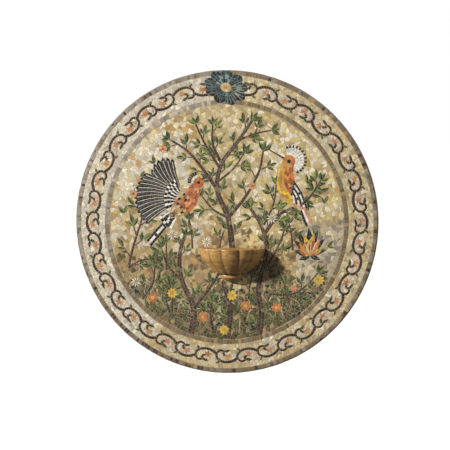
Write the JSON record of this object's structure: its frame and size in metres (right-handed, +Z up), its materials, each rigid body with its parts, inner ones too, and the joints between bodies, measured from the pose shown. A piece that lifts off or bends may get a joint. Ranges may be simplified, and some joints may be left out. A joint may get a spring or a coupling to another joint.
{
  "type": "mosaic wall panel with basin",
  "caption": "Round stone mosaic wall panel with a vine scroll border, a garden picture and a carved, fluted half basin on its face.",
  "frame": {"origin": "centre of the slab's flat back face, where it lies on the wall", "axes": "+Y out of the back face into the wall, +Z up, +X to the viewer's right; the picture faces -Y"},
  "size_m": [1.4, 0.1532, 1.4],
  "materials": {
    "slab_cement": "rough grey cement with a narrow lip round the mosaic",
    "brown_stone": "honed grey-brown marble tesserae, laid as one course",
    "cream_stone": "polished cream and pinkish limestone tesserae with fine veins",
    "dark_stone": "polished dark brown marble tesserae",
    "yellow_stone": "polished cream, yellow and white marble pieces, laid at random",
    "olive_stone": "honed olive and grey-green marble tesserae with pale joints",
    "teal_stone": "polished dark blue-green marble tesserae",
    "basin_stone": "carved golden-brown limestone, smoothed and waxed"
  },
  "bodies": {
    "root": {"backing_slab": "slab_cement", "outer_course": "brown_stone", "border_ground": "cream_stone", "border_scroll": "dark_stone", "inner_course": "brown_stone", "picture_ground": "yellow_stone", "picture_meadow": "olive_stone", "crest_flower": "teal_stone", "basin": "basin_stone"}
  },
  "joints": []
}
